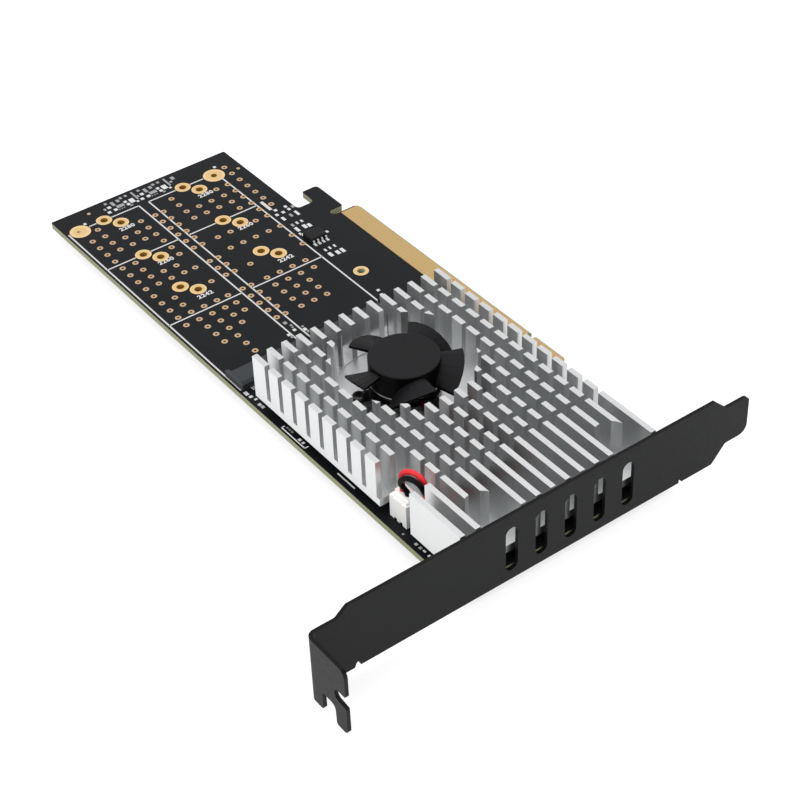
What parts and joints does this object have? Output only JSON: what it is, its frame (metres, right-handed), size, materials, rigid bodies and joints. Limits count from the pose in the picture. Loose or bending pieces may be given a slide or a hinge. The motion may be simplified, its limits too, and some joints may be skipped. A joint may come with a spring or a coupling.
{
  "type": "nvme adapter card",
  "caption": "Expansion card with M.2 drive sockets on both faces, a pin-fin heatsink with a small fan let into it, and a full-height slotted bracket.",
  "frame": {"origin": "key notch of the edge connector, on the mating edge and in the component face of the board", "axes": "+X from the bracket to the far end, +Y from the mating edge to the top edge, +Z out of the component face"},
  "size_m": [0.1883, 0.12, 0.0201],
  "materials": {
    "solder_mask": "satin",
    "gold": "satin",
    "socket_plastic": "matte",
    "tin": "satin",
    "chip_package": "matte",
    "nickel_lid": "satin",
    "thermal_pad": "matte",
    "heatsink_aluminium": "satin",
    "nylon": "matte",
    "screw_steel": "satin",
    "black_screw": "satin",
    "fan_plastic": "satin",
    "bronze": "matte",
    "core_steel": "satin",
    "copper": "satin",
    "magnet": "matte",
    "white_plastic": "satin",
    "black_insulation": "satin",
    "red_insulation": "satin",
    "bracket_paint": "matte"
  },
  "bodies": {
    "card": {"circuit_board": "solder_mask", "edge_contacts_front": "gold", "edge_contacts_rear": "gold", "m2_socket_front_a": "socket_plastic", "m2_socket_front_b": "socket_plastic", "m2_socket_rear_a": "socket_plastic", "m2_socket_rear_b": "socket_plastic", "m2_contacts_front": "tin", "m2_contacts_rear": "tin", "switch_chip": "chip_package", "switch_chip_lid": "nickel_lid", "thermal_pad": "thermal_pad", "heatsink": "heatsink_aluminium", "heatsink_spacers": "nylon", "heatsink_screws_front": "screw_steel", "heatsink_nuts": "screw_steel", "heatsink_screws_rear": "screw_steel", "fan_frame": "fan_plastic", "fan_screws": "black_screw", "fan_bearing": "bronze", "fan_driver_board": "solder_mask", "fan_stator_core": "core_steel", "fan_coils": "copper", "fan_header": "white_plastic", "fan_header_pins": "tin", "fan_plug": "white_plastic", "fan_lead_black": "black_insulation", "fan_lead_red": "red_insulation", "bracket": "bracket_paint", "bracket_screws": "screw_steel", "memory_chip": "chip_package", "memory_chip_leads": "tin"},
    "fan_rotor": {"fan_impeller": "fan_plastic", "fan_yoke": "core_steel", "fan_magnet": "magnet", "fan_shaft": "core_steel", "fan_shaft_clip": "nylon"}
  },
  "joints": [
    {"name": "fan_spin", "type": "hinge", "parent": "card", "child": "fan_rotor", "pos_m": [-0.0015, 0.04, 0], "axis": [0, 0, 1], "continuous": true}
  ]
}
